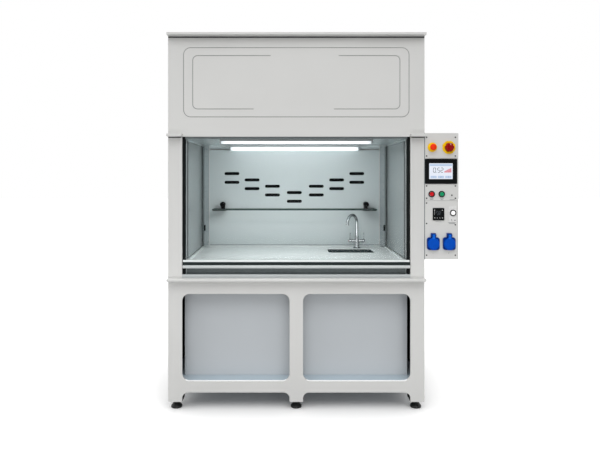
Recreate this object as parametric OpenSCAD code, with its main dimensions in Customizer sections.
// Polypropylene fume hood on a two-bay base. A counterbalanced glass sash closes the work chamber,
// which has a dished worktop with a small sink, a slotted baffle and an exhaust spigot on the roof.
// A control box hangs on the right side wall.
// +Z is up and the front faces -Y. The origin is on the floor, at the middle of the whole footprint.

/* [Body] */
// Width across the outer faces of the side walls
body_w = 1500; // [1480:5:1540]
// Depth from the front face to the rear face
body_d = 850; // [840:5:900]
// Height of the roof cap's top above the floor
body_h = 2200; // [2195:5:2260]
// Thickness of the welded sheet
sheet_t = 12; // [10:1:12]
// How far the ledges stand out in front of the front face
ledge_out = 50; // [50:1:60]
// Thickness of the roof cap, the worktop slab and the column collars
ledge_t = 15; // [13:1:17]

/* [Base] */
// Height of the base plates' lowest edge above the floor
foot_h = 48; // [44:1:52]
// Height of the arches between the legs
arch_h = 55; // [50:1:60]
// Width of each leg and each front column
column_w = 82; // [80:1:88]
// Width of the post between the two bays
post_w = 79; // [74:1:84]
// Height of the lower edge of the bays
bay_z = 172; // [168:1:180]
// Height of the upper edge of the bays
bay_top_z = 680; // [660:5:700]
// Radius of the bays' corners
bay_r = 43; // [38:1:48]
// How far the access panels stand back behind the front face
panel_back = 100; // [90:1:120]

/* [Worktop and sink] */
// Height of the slab's top
slab_z = 775; // [770:1:780]
// Height of the working surface
worktop_z = 870; // [865:1:872]
// Height of the raised lip round the working surface
lip_h = 8; // [6:1:11]
// Width of the sink cut-out
sink_w = 295; // [280:1:300]
// Depth of the sink cut-out, front to back
sink_d = 164; // [150:1:170]
// Depth of the sink bowl below the worktop
sink_h = 150; // [130:1:160]

/* [Sash and opening] */
// Height of the upper edge of the front opening
opening_z = 1600; // [1595:1:1605]
// Travel of the sash
sash_travel = 500; // [480:10:500]
// Thickness of the sash glass
glass_t = 6; // [5:0.5:6]
// Pitch radius of the belt pulleys
pulley_r = 25; // [24:0.5:26]

/* [Baffle] */
// Length of a baffle slot
slot_l = 107; // [100:1:115]
// Height of a baffle slot
slot_h = 22; // [18:1:26]
// Distance between the columns of slots
slot_pitch = 148; // [140:1:155]
// Rise from one column of slots to the next, outwards
slot_step = 45; // [40:1:50]

/* [Lights and shelf] */
// Length of the two light fittings
light_l = 900; // [860:10:920]
// Length of the glass shelf
shelf_l = 1142; // [1100:2:1160]
// Height of the glass shelf's underside
shelf_z = 1132; // [1130:1:1140]

/* [Tap] */
// Sideways place of the tap from the middle of the hood
tap_x = 432; // [425:1:440]
// Reach of the tap's spout
tap_reach = 117; // [110:1:120]

/* [Control box] */
// Width of the control box
box_w = 198; // [198:1:204]
// Height of the control box
box_h = 738; // [736:1:744]
// Depth of the control box
box_d = 100; // [95:1:110]

/* [Exhaust] */
// Outer diameter of the exhaust spigot
spigot_d = 250; // [240:5:260]
// Height of the exhaust spigot above the roof cap
spigot_h = 90; // [80:5:110]

/* [Hidden] */
$fn = 48;

// Colours of the finishes
pp_grey = [0.82, 0.82, 0.81];
pp_panel = [0.67, 0.70, 0.72];
pp_white = [0.90, 0.93, 0.93];
rubber_black = [0.05, 0.05, 0.06];
steel = [0.70, 0.72, 0.74];
glass_green = [0.70, 0.85, 0.82, 0.4];
signal_yellow = [0.95, 0.72, 0.08];
signal_red = [0.85, 0.10, 0.10];
button_green = [0.10, 0.60, 0.40];
socket_blue = [0.02, 0.30, 0.70];

// Planes of the hood
body_x = -box_w / 2;
front_y = (ledge_out - body_d) / 2;
rear_y = front_y + body_d;
ledge_y = front_y - ledge_out;
half_w = body_w / 2;
wall_x = half_w - sheet_t;
front_in_y = front_y + sheet_t;
rear_in_y = rear_y - sheet_t;
opening_x = half_w - column_w;
slab_bottom_z = slab_z - ledge_t;
roof_z = body_h - ledge_t;
leg_block = column_w;
foot_r = 33;
board_z = bay_z - sheet_t;

// Work chamber
pane_t = 6;
liner_x = opening_x - 21;
pane_x = liner_x - pane_t;
baffle_y = rear_in_y - 123;
baffle_t = 8;
pane_rear_y = baffle_y - 70;
seal_w = 6;
seal_x = pane_x - 11;
post_x = liner_x - 42;
ceiling_t = 10;
ceiling_z = opening_z - ceiling_t;
ceiling_front_y = front_y + 60;
pane_top_z = ceiling_z - 15;
shelf_t = 8;
// For the front and the rear light: y, height of the housing, height of the cover's straight sides
light_sizes = [[ceiling_front_y + 24, 8, 5], [baffle_y - 35, 17, 11]];
light_end_t = 6;
sill_z = slab_z + 19;
support_top_z = worktop_z - 20;
lip_z = worktop_z + lip_h;
plenum_x = 300;
plenum_t = 8;
plenum_y = baffle_y - 230;
spigot_y = (plenum_y + rear_in_y) / 2;
spigot_wall = 4;

// Sink and tap
sink_x = 368;
sink_y = front_y + 467;
sink_wall = 5;
sink_r = 20;
tap_y = front_y + 617;
drain_r = 20;
drain_z = 620;
drain_hose_l = 30;
trap_r = 34;
trap_h = 130;
tail_r = 6;
pipe_xs = [tap_x - 12, tap_x + 12];
pipe_z = 690;
pipe_hole_r = 10;
hose_l = 15;
tap_shank = 35;
bar_z = worktop_z + 50;
bar_r = 12;
spout_r = 9.5;
spout_turn = 230;
arc_z = worktop_z + 173;
fit_gap = 0.05;
slot_gap = 0.3;
hub_x = 38;
hub_l = 18;
lever_l = 52;
lever_pin_r = 6;
escutcheon_r = 26;
spout_z = worktop_z + 65;
spout_ring_z = spout_z + 12;

// Sash
glass_y = front_y + 25;
glass_x = opening_x - 8;
glass_z = 835;
glass_top_z = opening_z + 40;
guide_front_y = front_y + 12;
guide_rear_y = front_y + 40;
worktop_front_y = guide_rear_y + 1;
rail_x = opening_x - 5;
rail_z = 829;
rail_rear_y = front_y + 11;
handle_z = 832;
handle_h = 16;
bumper_z = 849;
bumper_h = 18;
arm_z = opening_z + 5;
arm_h = 20;
arm_front_y = front_y + 43;
arm_rear_y = front_y + 55;

// Belt drive in the side cavities
belt_w = 16;
belt_t = 2.5;
belt_x = half_w - 48;
belt_front_y = front_y + 49;
pulley_y = belt_front_y + pulley_r;
belt_rear_y = pulley_y + pulley_r;
pulley_z = roof_z - 30;
clamp_room = 155;
idler_z = pulley_z - sash_travel - clamp_room;
shaft_r = 8;
clamp_gap = 0.4;
weight_z = idler_z + 300;
weight_h = 300;

// Control box, with x measured from the middle of the hood
box_x = half_w;
box_z = 883;
plate_t = 3;
estop_at = [half_w + 45, 1538];
switch_at = [half_w + 142, 1537];
hmi_at = [half_w + 1.5, 1324.5];
hmi_size = [188, 146];
hmi_inset = 8;
screen_at = [half_w + 26, 1352];
screen_size = [137, 92];
red_at = [half_w + 41, 1264];
green_at = [half_w + 100, 1264];
lamp_at = [half_w + 159, 1258];
white_at = [half_w + 166, 1154];
controller_at = [half_w + 81, 1147];
controller_w = 67;
controller_h = 72;
socket_left_at = [half_w + 49, 975];
socket_right_at = [half_w + 142, 975];
socket_w = 72;
socket_h = 73;
socket_t = 14;
lid_t = 9;
hinge_rise = 49;
hinge_y = front_y - socket_t - 6;
knuckle_r = 6;
pin_r = 2.5;
plug_r = 19.75;
cap_r = 13.5;
bezel_r = 18.5;
bezel_t = 6;
lens_r = 3.5;
stem_r = 5;
stem_hole_r = 5.5;
estop_stem_r = 8;
estop_neck_r = 6;
estop_cap_y = front_y - 31;
estop_face_y = front_y - 36;
estop_cap_r = 19;
estop_ring_r = 27.5;
switch_r = 39;
switch_plate_y = front_y - 4;
switch_face_y = front_y - 30;

// Shared shapes

module in_body() {
  translate([body_x, 0, 0]) children();
}

// Draws its children on the right and mirrored on the left of the hood's middle
module both_sides() {
  for (side = [0, 1]) mirror([side, 0, 0]) children();
}

module block(low, high) {
  translate(low) cube(high - low);
}

module round_rect(w, h, r) {
  translate([r, 0]) square([w - 2 * r, h]);
  translate([0, r]) square([w, h - 2 * r]);
  for (x = [r, w - r], z = [r, h - r]) translate([x, z]) circle(r);
}

// Extrudes an X-Z outline backwards from a plane of constant y
module upright(y, t) {
  translate([0, y + t, 0]) rotate([90, 0, 0]) linear_extrude(t) children();
}

// A cylinder that runs backwards along +Y
module rod_y(at, y, r, l) {
  translate([at[0], y, at[1]]) rotate([-90, 0, 0]) cylinder(r = r, h = l);
}

// A cylinder that runs along +X
module rod_x(x, y, z, r, l) {
  translate([x, y, z]) rotate([0, 90, 0]) cylinder(r = r, h = l);
}

// Base

module base_front_frame() {
  bay_w = opening_x - post_w / 2;
  color(pp_grey) in_body() upright(front_y, sheet_t) difference() {
    translate([-half_w, foot_h]) square([body_w, slab_bottom_z - foot_h]);
    both_sides() {
      translate([post_w / 2, bay_z]) round_rect(bay_w, bay_top_z - bay_z, bay_r);
      translate([post_w / 2, foot_h - arch_h]) round_rect(bay_w, 2 * arch_h, 35);
    }
  }
}

module base_walls() {
  low_z = foot_h + arch_h;
  color(pp_grey) in_body() difference() {
    union() {
      both_sides() block([wall_x, front_in_y, low_z], [half_w, rear_in_y, slab_bottom_z]);
      block([-half_w, rear_in_y, low_z], [half_w, rear_y, slab_bottom_z]);
      block([-sheet_t / 2, front_in_y, bay_z], [sheet_t / 2, rear_in_y, slab_bottom_z]);
    }
    rod_y([sink_x, drain_z], rear_in_y - 1, 2 * drain_r, sheet_t + 2);
    for (x = pipe_xs) rod_y([x, pipe_z], rear_in_y - 1, pipe_hole_r, sheet_t + 2);
  }
}

module base_floor_board() {
  low_z = foot_h + arch_h;
  block_rear_y = rear_in_y - leg_block;
  color(pp_grey) in_body() {
    block([-wall_x, front_in_y, board_z], [wall_x, rear_in_y, bay_z]);
    for (y = [front_in_y, block_rear_y]) {
      both_sides() {
        block([opening_x, y, foot_h], [wall_x, y + leg_block, board_z]);
        block([wall_x, y, foot_h], [half_w, y + leg_block, low_z]);
      }
      block([-post_w / 2, y, foot_h], [post_w / 2, y + leg_block, board_z]);
    }
  }
}

module access_panels() {
  y = front_y + panel_back;
  color(pp_panel) in_body() both_sides()
    block([sheet_t / 2, y, bay_z], [opening_x + 2, y + 10, slab_bottom_z]);
}

module levelling_foot() {
  nut_r = 20;
  cylinder(r = foot_r, h = 12);
  translate([0, 0, 12]) cylinder(r1 = foot_r, r2 = nut_r, h = 16, $fn = 64);
  translate([0, 0, 28]) cylinder(r = nut_r, h = 12, $fn = 6);
  translate([0, 0, 40]) cylinder(r = nut_r - 5, h = foot_h - 40);
}

module levelling_feet() {
  inset = leg_block / 2;
  foot_ys = [front_in_y + inset, rear_in_y - inset];
  color(rubber_black) in_body() for (x = [-half_w + inset, 0, half_w - inset], y = foot_ys)
    translate([x, y, 0]) levelling_foot();
}

// Worktop

module worktop_slab() {
  cut = sink_wall + 10;
  color(pp_grey) in_body() difference() {
    block([-half_w, ledge_y, slab_bottom_z], [half_w, rear_y, slab_z]);
    translate([sink_x - sink_w / 2 - cut, sink_y - sink_d / 2 - cut, slab_bottom_z - 1])
      linear_extrude(ledge_t + 2) round_rect(sink_w + 2 * cut, sink_d + 2 * cut, sink_r + cut);
    translate([tap_x, tap_y, slab_bottom_z - 1]) cylinder(r = 30, h = ledge_t + 2);
  }
}

module worktop_supports() {
  bearer_w = 20;
  color(pp_grey) in_body() {
    block([-opening_x, front_y, slab_z], [opening_x, front_in_y, sill_z]);
    block([-liner_x, worktop_front_y, slab_z], [liner_x, worktop_front_y + sheet_t, support_top_z]);
    for (x = [-636, -220, 185, 545, 636])
      block([x - bearer_w / 2, worktop_front_y + sheet_t + 1, slab_z],
            [x + bearer_w / 2, rear_in_y, support_top_z]);
  }
}

module sink_outline(grow) {
  translate([sink_x - sink_w / 2 - grow, sink_y - sink_d / 2 - grow])
    round_rect(sink_w + 2 * grow, sink_d + 2 * grow, sink_r + grow);
}

module worktop() {
  lip_w = 16;
  dish_w = 2 * (liner_x - lip_w);
  dish_d = baffle_y - worktop_front_y - lip_w;
  color(pp_white) in_body() difference() {
    block([-liner_x, worktop_front_y, support_top_z], [liner_x, rear_in_y, lip_z]);
    translate([-dish_w / 2, worktop_front_y + lip_w, worktop_z])
      linear_extrude(lip_h + 1) round_rect(dish_w, dish_d, 12);
    translate([0, 0, support_top_z - 1]) linear_extrude(40) sink_outline(0);
    translate([tap_x, tap_y, support_top_z - 1]) cylinder(r = 16, h = 40);
  }
}

module sink_bowl() {
  bottom_z = worktop_z - sink_h - 20;
  color(pp_white) in_body() difference() {
    union() {
      translate([0, 0, bottom_z - sink_wall])
        linear_extrude(support_top_z - bottom_z + sink_wall) sink_outline(sink_wall);
      translate([0, 0, support_top_z - 6]) linear_extrude(6) sink_outline(sink_wall + 12);
    }
    translate([0, 0, bottom_z]) linear_extrude(200) sink_outline(0);
    translate([sink_x, sink_y, bottom_z - sink_wall - 1]) cylinder(r = drain_r + 0.3, h = 20);
  }
}

module sink_plumbing() {
  bottom_z = worktop_z - sink_h - 20;
  trap_z = drain_z - 60;
  color(pp_panel) in_body() {
    translate([sink_x, sink_y, bottom_z]) difference() {
      cylinder(r = drain_r + 14, h = 3);
      for (a = [0 : 60 : 300]) rotate(a) translate([12, 0, -1]) cylinder(r = 3, h = 5);
    }
    translate([sink_x, sink_y, trap_z + trap_h]) cylinder(r = drain_r, h = bottom_z - trap_z - trap_h);
    translate([sink_x, sink_y, trap_z]) cylinder(r = trap_r, h = trap_h);
    rod_y([sink_x, drain_z], sink_y, drain_r, rear_y - 1 - drain_hose_l - sink_y);
    rod_y([sink_x, drain_z], rear_y - 1 - drain_hose_l, drain_r - 2, drain_hose_l);
    for (x = pipe_xs) {
      translate([x, tap_y, pipe_z]) sphere(tail_r);
      translate([x, tap_y, pipe_z]) cylinder(r = tail_r, h = worktop_z - tap_shank - pipe_z);
      rod_y([x, pipe_z], tap_y, tail_r, rear_y - 1 - hose_l - tap_y);
      rod_y([x, pipe_z], rear_y - 1 - hose_l, tail_r - 1, hose_l);
    }
  }
}

// Upper body

module outer_walls() {
  color(pp_grey) in_body() {
    both_sides() block([wall_x, front_in_y, slab_z], [half_w, rear_in_y, roof_z]);
    block([-half_w, rear_in_y, slab_z], [half_w, rear_y, roof_z]);
  }
}

module roof_cap() {
  color(pp_grey) in_body() difference() {
    block([-half_w, ledge_y, roof_z], [half_w, rear_y, body_h]);
    translate([0, spigot_y, roof_z - 1]) cylinder(r = spigot_d / 2 - spigot_wall, h = ledge_t + 2);
  }
}

module groove(w, h, r) {
  line_w = 4;
  difference() {
    translate([-w / 2, -h / 2]) round_rect(w, h, r);
    translate([-w / 2 + line_w, -h / 2 + line_w])
      round_rect(w - 2 * line_w, h - 2 * line_w, r - line_w);
  }
}

module fascia() {
  groove_depth = 2.5;
  middle_z = 1918;
  color(pp_grey) in_body() difference() {
    block([-half_w, front_y, opening_z], [half_w, front_in_y, roof_z]);
    translate([0, 0, middle_z]) upright(front_y - 1, groove_depth + 1) {
      groove(1323, 409, 44);
      difference() {
        groove(1216, 316, 30);
        translate([-150, 0]) square([398, 200]);
        translate([-250, -200]) square([470, 200]);
      }
    }
  }
}

module column_fronts() {
  color(pp_grey) in_body() both_sides() {
    block([opening_x, front_y, slab_z], [half_w, front_in_y, opening_z]);
    block([opening_x - 5, ledge_y, opening_z], [half_w, front_y, opening_z + ledge_t]);
    block([opening_x, ledge_y + 20, opening_z - 0.5], [half_w, front_y, opening_z]);
  }
}

module side_liners() {
  color(pp_white) in_body() both_sides()
    block([liner_x, guide_rear_y + 1, slab_z], [liner_x + sheet_t, rear_in_y, ceiling_z]);
}

module side_panes() {
  color(glass_green) in_body() both_sides()
    block([pane_x, guide_rear_y + 3, lip_z + 2], [liner_x, pane_rear_y, pane_top_z]);
}

module pane_seals() {
  clip_z = 1008;
  color(rubber_black) in_body() both_sides() {
    difference() {
      block([seal_x, pane_rear_y - 6, lip_z + 2], [liner_x, pane_rear_y + seal_w, pane_top_z]);
      block([pane_x, pane_rear_y - 7, lip_z + 1], [liner_x + 1, pane_rear_y, pane_top_z + 1]);
    }
    difference() {
      block([seal_x - 8, pane_rear_y - 12, clip_z - 20], [seal_x + 1, pane_rear_y + seal_w, clip_z + 20]);
      rod_x(seal_x - 9, pane_rear_y - 3, clip_z, 2, 4);
    }
  }
}

module corner_posts() {
  color(pp_panel) in_body() both_sides() translate([0, 0, lip_z])
    linear_extrude(ceiling_z - lip_z) polygon([
      [liner_x, pane_rear_y + seal_w], [liner_x, baffle_y], [post_x, baffle_y],
      [seal_x, pane_rear_y + seal_w]
    ]);
}

module slot_outline() {
  square([slot_l - slot_h, slot_h], center = true);
  for (x = [-1, 1]) translate([x * (slot_l - slot_h) / 2, 0]) circle(slot_h / 2);
}

module baffle() {
  lowest_slot_z = 1190;
  pair_rise = 62;
  color(pp_white) in_body() upright(baffle_y, baffle_t) difference() {
    translate([-liner_x + 2, lip_z + 3]) square([2 * liner_x - 4, ceiling_z - 35 - lip_z - 3]);
    for (column = [-3 : 3], row = [0, 1])
      translate([column * slot_pitch, lowest_slot_z + abs(column) * slot_step + row * pair_rise])
        slot_outline();
  }
}

module ceiling() {
  color(pp_white) in_body() difference() {
    block([-liner_x - sheet_t, ceiling_front_y, ceiling_z], [liner_x + sheet_t, rear_in_y, opening_z]);
    block([-plenum_x, baffle_y + baffle_t, ceiling_z - 1], [plenum_x, rear_in_y + 1, opening_z + 1]);
  }
}

module plenum_shell() {
  outer_x = plenum_x + plenum_t;
  color(pp_grey) in_body() {
    both_sides() block([plenum_x, plenum_y, opening_z], [outer_x, rear_in_y, roof_z]);
    block([-plenum_x, plenum_y, opening_z], [plenum_x, plenum_y + plenum_t, roof_z]);
  }
}

module exhaust_spigot() {
  color(pp_grey) in_body() translate([0, spigot_y, body_h]) difference() {
    union() {
      cylinder(r = spigot_d / 2 + 30, h = 6, $fn = 96);
      cylinder(r = spigot_d / 2, h = spigot_h, $fn = 96);
    }
    translate([0, 0, -1]) cylinder(r = spigot_d / 2 - spigot_wall, h = spigot_h + 2, $fn = 96);
  }
}

// Lights and shelf

module light_housings() {
  half_l = light_l / 2 + light_end_t;
  half_depth = 22;
  color(pp_white) in_body() for (size = light_sizes)
    block([-half_l, size[0] - half_depth, ceiling_z - size[1]], [half_l, size[0] + half_depth, ceiling_z]);
}

module light_diffusers() {
  diffuser_r = 15;
  color("white") in_body() for (size = light_sizes)
    translate([-light_l / 2, size[0], ceiling_z - size[1] - size[2]])
      rotate([90, 0, 90]) linear_extrude(light_l) {
        difference() {
          circle(diffuser_r);
          translate([-diffuser_r - 1, 1]) square(2 * diffuser_r + 2);
        }
        translate([-diffuser_r, 0]) square([2 * diffuser_r, size[2]]);
      }
}

module glass_shelf() {
  color(glass_green) in_body()
    block([-shelf_l / 2, baffle_y - 120, shelf_z], [shelf_l / 2, baffle_y - 10, shelf_z + shelf_t]);
}

module shelf_brackets() {
  arm_l = 92;
  arm_t = 6;
  knob_x = 506;
  knob_r = 18;
  knob_z = shelf_z + 38;
  color(rubber_black) in_body() both_sides() {
    block([shelf_l / 2 - arm_l, baffle_y - 80, shelf_z - arm_t], [shelf_l / 2, baffle_y, shelf_z]);
    block([knob_x - 14, baffle_y - 9, shelf_z - 1], [knob_x + 14, baffle_y, knob_z]);
    rod_y([knob_x, knob_z], baffle_y - 50, knob_r, 50);
    block([knob_x - 8, baffle_y - 45, shelf_z + shelf_t], [knob_x + 8, baffle_y - 9, knob_z - 10]);
  }
}

// Sash

module sash_guides() {
  slot_low_y = glass_y - slot_gap;
  slot_high_y = glass_y + glass_t + slot_gap;
  color(rubber_black) in_body() {
    both_sides() difference() {
      block([opening_x - 16, guide_front_y, sill_z], [opening_x + 10, guide_rear_y, roof_z - 5]);
      block([opening_x - 17, slot_low_y, slab_z], [opening_x - 4, slot_high_y, roof_z]);
    }
    block([-opening_x + 17, guide_front_y, opening_z - 12],
          [opening_x - 17, guide_front_y + 8, opening_z]);
  }
}

module sash_glass() {
  color(glass_green) in_body()
    block([-glass_x, glass_y, glass_z], [glass_x, glass_y + glass_t, glass_top_z]);
}

module sash_bottom_rail() {
  inner_x = opening_x - 20;
  color(pp_white) in_body() {
    block([-rail_x, front_y, rail_z], [rail_x, rail_rear_y, lip_z]);
    block([-inner_x, rail_rear_y, rail_z + 10], [inner_x, glass_y, lip_z]);
  }
}

module sash_bumper() {
  color(rubber_black) in_body()
    block([-rail_x, front_y - 3, bumper_z], [rail_x, front_y, bumper_z + bumper_h]);
}

module sash_handle() {
  nose_r = 6;
  depth = 16;
  color(pp_grey) in_body() translate([-rail_x, front_y, handle_z])
    rotate([90, 0, 90]) linear_extrude(2 * rail_x) {
      translate([nose_r - depth, 0]) square([depth - nose_r, handle_h]);
      translate([-depth, nose_r]) square([nose_r, handle_h - 2 * nose_r]);
      for (z = [nose_r, handle_h - nose_r]) translate([nose_r - depth, z]) circle(nose_r);
    }
}

module sash_arms() {
  low_y = belt_front_y - belt_t / 2 - clamp_gap;
  high_y = belt_front_y + belt_t / 2 + clamp_gap;
  inner_x = opening_x - 36;
  color(steel) in_body() both_sides() difference() {
    union() {
      block([inner_x, glass_y + glass_t, arm_z], [inner_x + 18, arm_rear_y, arm_z + arm_h]);
      block([inner_x, arm_front_y, arm_z], [belt_x + belt_w / 2 + 2, arm_rear_y, arm_z + arm_h]);
    }
    block([belt_x - belt_w / 2 - 0.5, low_y, arm_z - 1],
          [belt_x + belt_w / 2 + 3, high_y, arm_z + arm_h + 1]);
  }
}

// Belt drive

module belt_outline(r) {
  for (z = [idler_z, pulley_z]) translate([pulley_y, z]) circle(r);
  translate([pulley_y - r, idler_z]) square([2 * r, pulley_z - idler_z]);
}

module toothed_belts() {
  color(rubber_black) in_body() both_sides() translate([belt_x - belt_w / 2, 0, 0])
    rotate([90, 0, 90]) linear_extrude(belt_w) difference() {
      belt_outline(pulley_r + belt_t / 2);
      belt_outline(pulley_r - belt_t / 2);
    }
}

module flanged_pulley(x, z) {
  rim_r = pulley_r - belt_t / 2 - slot_gap;
  rod_x(x - belt_w / 2 - 0.5, pulley_y, z, rim_r, belt_w + 1);
  for (side_x = [x - belt_w / 2 - 2.5, x + belt_w / 2 + 0.5])
    rod_x(side_x, pulley_y, z, pulley_r + 3, 2);
}

module drive_shaft() {
  color(steel) in_body() {
    rod_x(-wall_x + 1, pulley_y, pulley_z, shaft_r, 2 * wall_x - 2);
    both_sides() flanged_pulley(belt_x, pulley_z);
  }
}

module drive_brackets() {
  color(pp_panel) in_body() both_sides() {
    difference() {
      rod_x(wall_x - 12, pulley_y, pulley_z, 24, 12);
      rod_x(wall_x - 13, pulley_y, pulley_z, shaft_r + fit_gap, 14);
    }
    rod_x(belt_x - 14, pulley_y, idler_z, shaft_r, wall_x - belt_x + 14);
    rod_x(wall_x - 8, pulley_y, idler_z, 22, 8);
  }
}

module idler(side) {
  color(steel) in_body() mirror([side, 0, 0]) difference() {
    flanged_pulley(belt_x, idler_z);
    rod_x(belt_x - 20, pulley_y, idler_z, shaft_r + fit_gap, 40);
  }
}

module idler_left() {
  idler(1);
}

module idler_right() {
  idler(0);
}

module counterweight(side) {
  weight_y = belt_rear_y + 6;
  ear_z = weight_z + weight_h - 20;
  low_y = belt_rear_y - belt_t / 2 - clamp_gap;
  high_y = belt_rear_y + belt_t / 2 + clamp_gap;
  color([0.35, 0.36, 0.38]) in_body() mirror([side, 0, 0]) difference() {
    union() {
      block([belt_x - 26, weight_y, weight_z], [belt_x + 26, weight_y + 80, weight_z + weight_h]);
      block([belt_x - 12, belt_rear_y - 5, ear_z], [belt_x + 12, weight_y, weight_z + weight_h]);
    }
    block([belt_x - belt_w / 2 - 0.5, low_y, ear_z - 1],
          [belt_x + 13, high_y, weight_z + weight_h + 1]);
  }
}

module counterweight_left() {
  counterweight(1);
}

module counterweight_right() {
  counterweight(0);
}

// Tap

module tap_body() {
  shank_r = 15;
  nut_h = 14;
  color(steel) in_body() translate([tap_x, tap_y, 0]) difference() {
    union() {
      translate([0, 0, worktop_z]) cylinder(r = escutcheon_r, h = 6);
      translate([0, 0, worktop_z - tap_shank]) cylinder(r = shank_r, h = bar_z - worktop_z + tap_shank);
      translate([0, 0, support_top_z - nut_h]) cylinder(r = escutcheon_r, h = nut_h, $fn = 6);
      translate([0, 0, bar_z]) cylinder(r = shank_r - 2, h = spout_ring_z - 1 - bar_z);
      rod_x(-hub_x, 0, bar_z, bar_r, 2 * hub_x);
    }
    translate([0, 0, spout_z - 1]) cylinder(r = spout_r + fit_gap, h = 20);
    both_sides() rod_x(hub_x - 10, 0, bar_z, lever_pin_r + fit_gap, 12);
  }
}

module tap_spout() {
  arc_r = tap_reach / 2;
  drop_l = 2;
  outlet_l = 6;
  color(steel) in_body() translate([tap_x, tap_y, 0]) rotate(spout_turn) {
    translate([0, 0, spout_z]) cylinder(r = spout_r, h = arc_z - spout_z);
    translate([0, 0, spout_ring_z]) cylinder(r = 13, h = 8);
    translate([arc_r, 0, arc_z]) rotate([90, 0, 0])
      rotate_extrude(angle = 180, $fn = 96) translate([arc_r, 0]) circle(spout_r);
    translate([tap_reach, 0, arc_z - drop_l]) cylinder(r = spout_r, h = drop_l);
    translate([tap_reach, 0, arc_z - drop_l - outlet_l]) cylinder(r = spout_r + 2, h = outlet_l);
  }
}

module tap_lever(side) {
  color(steel) in_body() translate([tap_x, tap_y, 0]) mirror([side, 0, 0]) {
    rod_x(hub_x - 8, 0, bar_z, lever_pin_r, 10);
    rod_x(hub_x + slot_gap, 0, bar_z, bar_r, hub_l);
    translate([hub_x + hub_l / 2, 0, bar_z]) cylinder(r = 3, h = lever_l);
    translate([hub_x + hub_l / 2, 0, bar_z + lever_l]) sphere(4.5);
  }
}

module tap_lever_left() {
  tap_lever(1);
}

module tap_lever_right() {
  tap_lever(0);
}

// Control box

module control_box_shell() {
  wall = 3;
  gland_r = 8;
  gland_at = [box_x + 60, box_z + 60];
  color(pp_grey) in_body() {
    difference() {
      block([box_x, front_y + plate_t, box_z], [box_x + box_w, front_y + box_d, box_z + box_h]);
      block([box_x + wall, front_y, box_z + wall],
            [box_x + box_w - wall, front_y + box_d - wall, box_z + box_h - wall]);
      rod_y(gland_at, front_y + box_d - 10, gland_r, 20);
    }
    difference() {
      rod_y(gland_at, front_y + box_d - 0.5, gland_r + 7, 22);
      rod_y(gland_at, front_y + box_d - 10, gland_r, 40);
    }
  }
}

module control_panels() {
  low_z = 1226;
  middle_z = 1325;
  upper_z = hmi_at[1] + hmi_size[1] + 3;
  raised = 1.5;
  gap = 0.5;
  color(pp_grey) in_body() difference() {
    union() {
      upright(front_y, plate_t) {
        translate([box_x, box_z]) square([box_w, low_z - 1 - box_z]);
        translate([box_x, low_z]) square([box_w, middle_z - 1 - low_z]);
        translate([box_x, middle_z]) square([box_w, upper_z - 1 - middle_z]);
        translate([box_x, upper_z]) square([box_w, box_z + box_h - upper_z]);
      }
      translate([white_at[0] - 26, 0, white_at[1] - 53]) upright(front_y - raised, raised)
        round_rect(46, 94, 4);
      rod_y(lamp_at, front_y - raised, 12, raised);
    }
    rod_y(white_at, front_y - raised - 1, bezel_r + 0.1, raised + 1);
    rod_y(lamp_at, front_y - raised - 1, lens_r + fit_gap, raised + plate_t + 2);
    for (at = [red_at, green_at, white_at]) rod_y(at, front_y - 4, stem_hole_r, 10);
    rod_y(estop_at, front_y - 4, estop_stem_r + 0.4, 10);
    rod_y(switch_at, front_y - 4, stem_hole_r, 10);
    translate([controller_at[0] - controller_w / 2 + 2, 0, controller_at[1] - controller_h / 2 + 2])
      upright(front_y - 1, plate_t + 2) square([controller_w - 4, controller_h - 4]);
    for (at = [socket_left_at, socket_right_at]) rod_y(at, front_y - 1, plug_r + 4.25, 10);
    translate([hmi_at[0] + hmi_inset - gap, 0, hmi_at[1] + hmi_inset - gap]) upright(front_y - 1, plate_t + 2)
      square([hmi_size[0] - 2 * (hmi_inset - gap), hmi_size[1] - 2 * (hmi_inset - gap)]);
  }
}

module hmi_housing() {
  color(rubber_black) in_body() difference() {
    union() {
      translate([hmi_at[0], 0, hmi_at[1]]) upright(front_y - 6, 6)
        round_rect(hmi_size[0], hmi_size[1], 5);
      block([hmi_at[0] + hmi_inset, front_y - 1, hmi_at[1] + hmi_inset],
            [hmi_at[0] + hmi_size[0] - hmi_inset, front_y + 40, hmi_at[1] + hmi_size[1] - hmi_inset]);
    }
    translate([screen_at[0], 0, screen_at[1]]) upright(front_y - 7, 4)
      square(screen_size);
  }
}

module hmi_screen() {
  color("white") in_body()
    translate([screen_at[0], 0, screen_at[1]]) upright(front_y - 5, 2) square(screen_size);
}

module yellow_plates() {
  color(signal_yellow) in_body() {
    difference() {
      union() {
        rod_y(estop_at, front_y - 4, estop_ring_r, 4);
        rod_y(estop_at, front_y - 12, 15, 8);
      }
      rod_y(estop_at, front_y - 13, estop_stem_r + 0.4, 20);
    }
    difference() {
      rod_y(switch_at, switch_plate_y, switch_r, 4);
      for (a = [0 : 45 : 315])
        rod_y(switch_at + (switch_r + 2) * [cos(a), sin(a)], switch_plate_y - 1, 5, 6);
      rod_y(switch_at, switch_plate_y - 1, stem_hole_r, 10);
    }
  }
}

module estop_stem() {
  color(rubber_black) in_body() {
    rod_y(estop_at, front_y - 22, estop_stem_r, 52);
    rod_y(estop_at, front_y - 33, estop_neck_r, 11);
  }
}

module estop_cap() {
  color(signal_red) in_body() difference() {
    union() {
      rod_y(estop_at, estop_cap_y, estop_cap_r, 8.7);
      rod_y(estop_at, estop_face_y, estop_cap_r - 3, 5.5);
    }
    rod_y(estop_at, front_y - 33.5, estop_neck_r + fit_gap, 12);
  }
}

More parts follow.
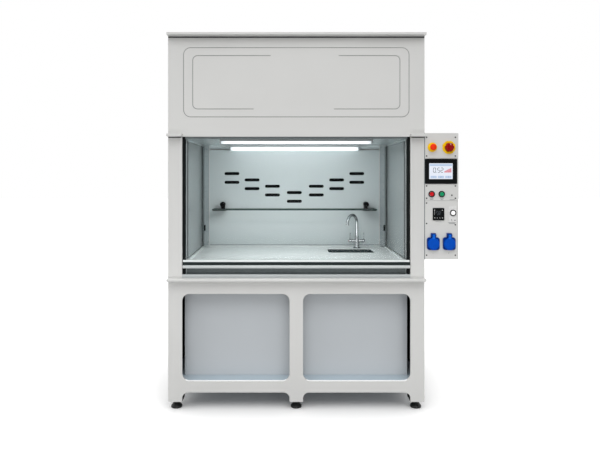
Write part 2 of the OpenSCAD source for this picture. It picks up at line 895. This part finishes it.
module switch_knob() {
  knob_r = 26.5;
  knob_l = switch_plate_y - 0.5 - switch_face_y;
  grip_w = 14;
  grip_l = 44;
  grip_h = 12;
  color(signal_red) in_body() {
    difference() {
      rod_y(switch_at, switch_face_y, knob_r, knob_l);
      for (a = [30 : 60 : 330])
        rod_y(switch_at + (knob_r + 4) * [cos(a), sin(a)], switch_face_y - 1, 8, knob_l + 2);
    }
    translate([switch_at[0], switch_face_y - grip_h, switch_at[1]]) rotate([-90, 0, 0])
      translate([-grip_w / 2, -grip_l / 2, 0]) cube([grip_w, grip_l, grip_h + 1]);
    rod_y(switch_at, front_y - 5, stem_r, 35);
  }
}

module button_bezels() {
  color(rubber_black) in_body() {
    for (at = [red_at, green_at, white_at]) difference() {
      rod_y(at, front_y - bezel_t, bezel_r, bezel_t);
      rod_y(at, front_y - bezel_t - 1, cap_r + slot_gap, bezel_t + 2);
    }
    rod_y(lamp_at, front_y - 4, lens_r, 12);
  }
}

module push_cap(at) {
  rod_y(at, front_y - bezel_t - 3, cap_r, 5);
  rod_y(at, front_y - bezel_t + 2, stem_r, 26);
}

module red_button() {
  color(signal_red) in_body() push_cap(red_at);
}

module green_button() {
  color(button_green) in_body() push_cap(green_at);
}

module white_button() {
  color("white") in_body() push_cap(white_at);
}

module controller() {
  side_x = controller_w / 2;
  side_z = controller_h / 2;
  color(rubber_black) in_body() translate([controller_at[0], 0, controller_at[1]]) {
    difference() {
      translate([-side_x, 0, -side_z]) upright(front_y - 5, 5) round_rect(controller_w, controller_h, 3);
      block([5 - side_x, front_y - 6, 5 - side_z], [side_x - 5, front_y - 4, side_z - 5]);
    }
    block([-30.5, front_y, -33], [30.5, front_y + 60, 33]);
  }
}

module socket_body(at) {
  knuckle_w = 6;
  tab_x = 14;
  translate([at[0], 0, at[1]]) difference() {
    union() {
      translate([-socket_w / 2, 0, -socket_h / 2]) upright(front_y - socket_t, socket_t)
        round_rect(socket_w, socket_h, 14);
      block([-tab_x, front_y - socket_t, 30], [tab_x, front_y, 61]);
      for (x = [-tab_x, tab_x - knuckle_w]) {
        rod_x(x, hinge_y, hinge_rise, knuckle_r, knuckle_w);
        block([x, hinge_y, hinge_rise - knuckle_r], [x + knuckle_w, front_y - 1, hinge_rise + knuckle_r]);
      }
      rod_x(-tab_x, hinge_y, hinge_rise, pin_r, 2 * tab_x);
      rod_y([0, 0], front_y - 1, plug_r + 3.25, 40);
    }
    rod_y([0, 0], front_y - socket_t - 1, plug_r, socket_t + 15);
  }
}

module socket_bodies() {
  color(socket_blue) in_body() {
    socket_body(socket_left_at);
    socket_body(socket_right_at);
  }
}

module socket_lid(at) {
  face_y = front_y - socket_t - clamp_gap;
  lid_tab_x = 14;
  color(socket_blue) in_body() translate([at[0], 0, at[1]]) difference() {
    union() {
      upright(face_y - lid_t, lid_t) {
        circle(socket_w / 2 - 2);
        translate([-lid_tab_x, -socket_h / 2]) square([2 * lid_tab_x, socket_h / 2]);
      }
      block([-7.5, face_y - lid_t, 30], [7.5, face_y, hinge_rise]);
      rod_x(-7.5, hinge_y, hinge_rise, knuckle_r - 0.4, 15);
    }
    rod_x(-8, hinge_y, hinge_rise, pin_r + fit_gap, 16);
  }
}

module socket_lid_left() {
  socket_lid(socket_left_at);
}

module socket_lid_right() {
  socket_lid(socket_right_at);
}

module panel_screws() {
  left_x = box_x + 12;
  right_x = box_x + 180;
  places = [
    [left_x, 1596], [right_x, 1596], [left_x, 1487], [right_x, 1487],
    [left_x, 1312], [right_x, 1312], [left_x, 1240], [right_x, 1240],
    [left_x, 1212], [left_x, 1092], [right_x, 1085], [left_x, 907], [right_x, 907]
  ];
  color(steel) in_body() for (at = places) rod_y(at, front_y - 1.6, 3.4, 1.6);
}

base_front_frame();
base_walls();
base_floor_board();
access_panels();
levelling_feet();
worktop_slab();
worktop_supports();
worktop();
sink_bowl();
sink_plumbing();
outer_walls();
roof_cap();
fascia();
column_fronts();
side_liners();
side_panes();
pane_seals();
corner_posts();
baffle();
ceiling();
plenum_shell();
exhaust_spigot();
light_housings();
light_diffusers();
glass_shelf();
shelf_brackets();
sash_guides();
sash_glass();
sash_bottom_rail();
sash_bumper();
sash_handle();
sash_arms();
toothed_belts();
drive_shaft();
drive_brackets();
idler_left();
idler_right();
counterweight_left();
counterweight_right();
tap_body();
tap_spout();
tap_lever_left();
tap_lever_right();
control_box_shell();
control_panels();
hmi_housing();
hmi_screen();
yellow_plates();
estop_stem();
estop_cap();
switch_knob();
button_bezels();
red_button();
green_button();
white_button();
controller();
socket_bodies();
socket_lid_left();
socket_lid_right();
panel_screws();
